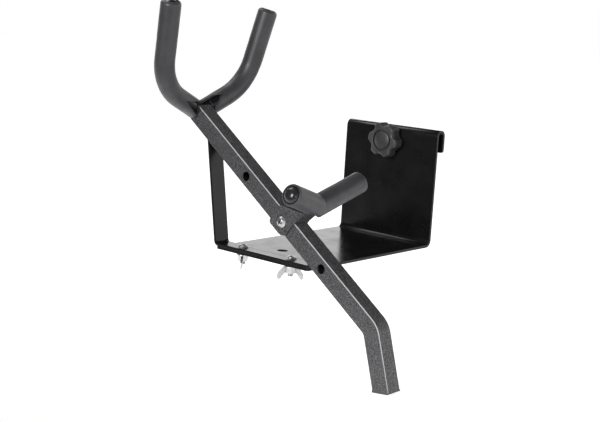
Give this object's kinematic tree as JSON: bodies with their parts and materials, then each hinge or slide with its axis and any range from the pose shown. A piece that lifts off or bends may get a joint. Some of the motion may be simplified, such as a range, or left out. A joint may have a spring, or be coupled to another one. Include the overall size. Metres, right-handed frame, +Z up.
{
  "type": "bicycle wall rack",
  "caption": "Hook-over bracket with a knob clamp, carrying a slanted square arm with a padded U yoke, a padded V cradle and a bent foot.",
  "frame": {"origin": "middle of the hook's seat, halfway across the bracket and halfway across the slot", "axes": "+Z up, +Y through the panel towards the wall or rail's far side, +X along the bracket's width towards the foot"},
  "size_m": [0.301, 0.3054, 0.3718],
  "materials": {
    "black_gloss": "gloss",
    "black_textured": "textured",
    "foam": "matte",
    "dome_plastic": "gloss",
    "grip_plastic": "satin",
    "zinc": "satin"
  },
  "bodies": {
    "rack": {"hook_bracket": "black_gloss", "clinch_nut": "zinc", "arm_tube": "black_textured", "yoke_tube": "black_gloss", "yoke_foam": "foam", "yoke_end_plugs": "dome_plastic", "foot_plug": "grip_plastic", "support_bar": "black_gloss", "shelf_screws": "zinc", "weld_bar_low": "black_gloss", "weld_bar_high": "black_gloss", "weld_bar_back": "black_gloss"},
    "pad": {"pressure_pad": "grip_plastic"},
    "knob": {"clamp_knob": "grip_plastic", "knob_cap": "grip_plastic", "clamp_stud": "zinc"},
    "washer_left": {"wing_washer_left": "zinc"},
    "nut_left": {"wing_nut_left": "zinc"},
    "washer_right": {"wing_washer_right": "zinc"},
    "nut_right": {"wing_nut_right": "zinc"},
    "cradle": {"cradle_clip": "black_textured", "cradle_tube": "black_gloss", "cradle_foam_near": "foam", "cradle_foam_far": "foam", "cradle_end_plugs": "dome_plastic", "clip_screw": "zinc", "clip_washer": "zinc", "clip_lock_nut": "zinc"}
  },
  "joints": [
    {"name": "clamp_advance", "type": "slide", "parent": "rack", "child": "pad", "axis": [0, 1, 0], "range_m": [-0.005, 0.0014]},
    {"name": "clamp_turn", "type": "hinge", "parent": "pad", "child": "knob", "pos_m": [0, -0.018, -0.0142], "axis": [0, 1, 0], "range_deg": [-1440, 400]},
    {"name": "washer_drop_left", "type": "slide", "parent": "rack", "child": "washer_left", "axis": [0, 0, 1], "range_m": [-0.005, 0]},
    {"name": "wing_turn_left", "type": "hinge", "parent": "washer_left", "child": "nut_left", "pos_m": [-0.0345, -0.2125, -0.1375], "axis": [0, 0, 1], "range_deg": [-1800, 0]},
    {"name": "washer_drop_right", "type": "slide", "parent": "rack", "child": "washer_right", "axis": [0, 0, 1], "range_m": [-0.005, 0]},
    {"name": "wing_turn_right", "type": "hinge", "parent": "washer_right", "child": "nut_right", "pos_m": [0.0345, -0.2125, -0.1375], "axis": [0, 0, 1], "range_deg": [-1800, 0]},
    {"name": "cradle_tilt", "type": "hinge", "parent": "rack", "child": "cradle", "pos_m": [0.02839, -0.2125, -0.08656], "axis": [0, -1, 0], "range_deg": [0, 80]}
  ],
  "couplings": [
    {"joint": "clamp_advance", "follows": "clamp_turn", "m_per_rad": 0.00019894},
    {"joint": "washer_drop_left", "follows": "wing_turn_left", "m_per_rad": 0.00015915},
    {"joint": "washer_drop_right", "follows": "wing_turn_right", "m_per_rad": 0.00015915}
  ]
}
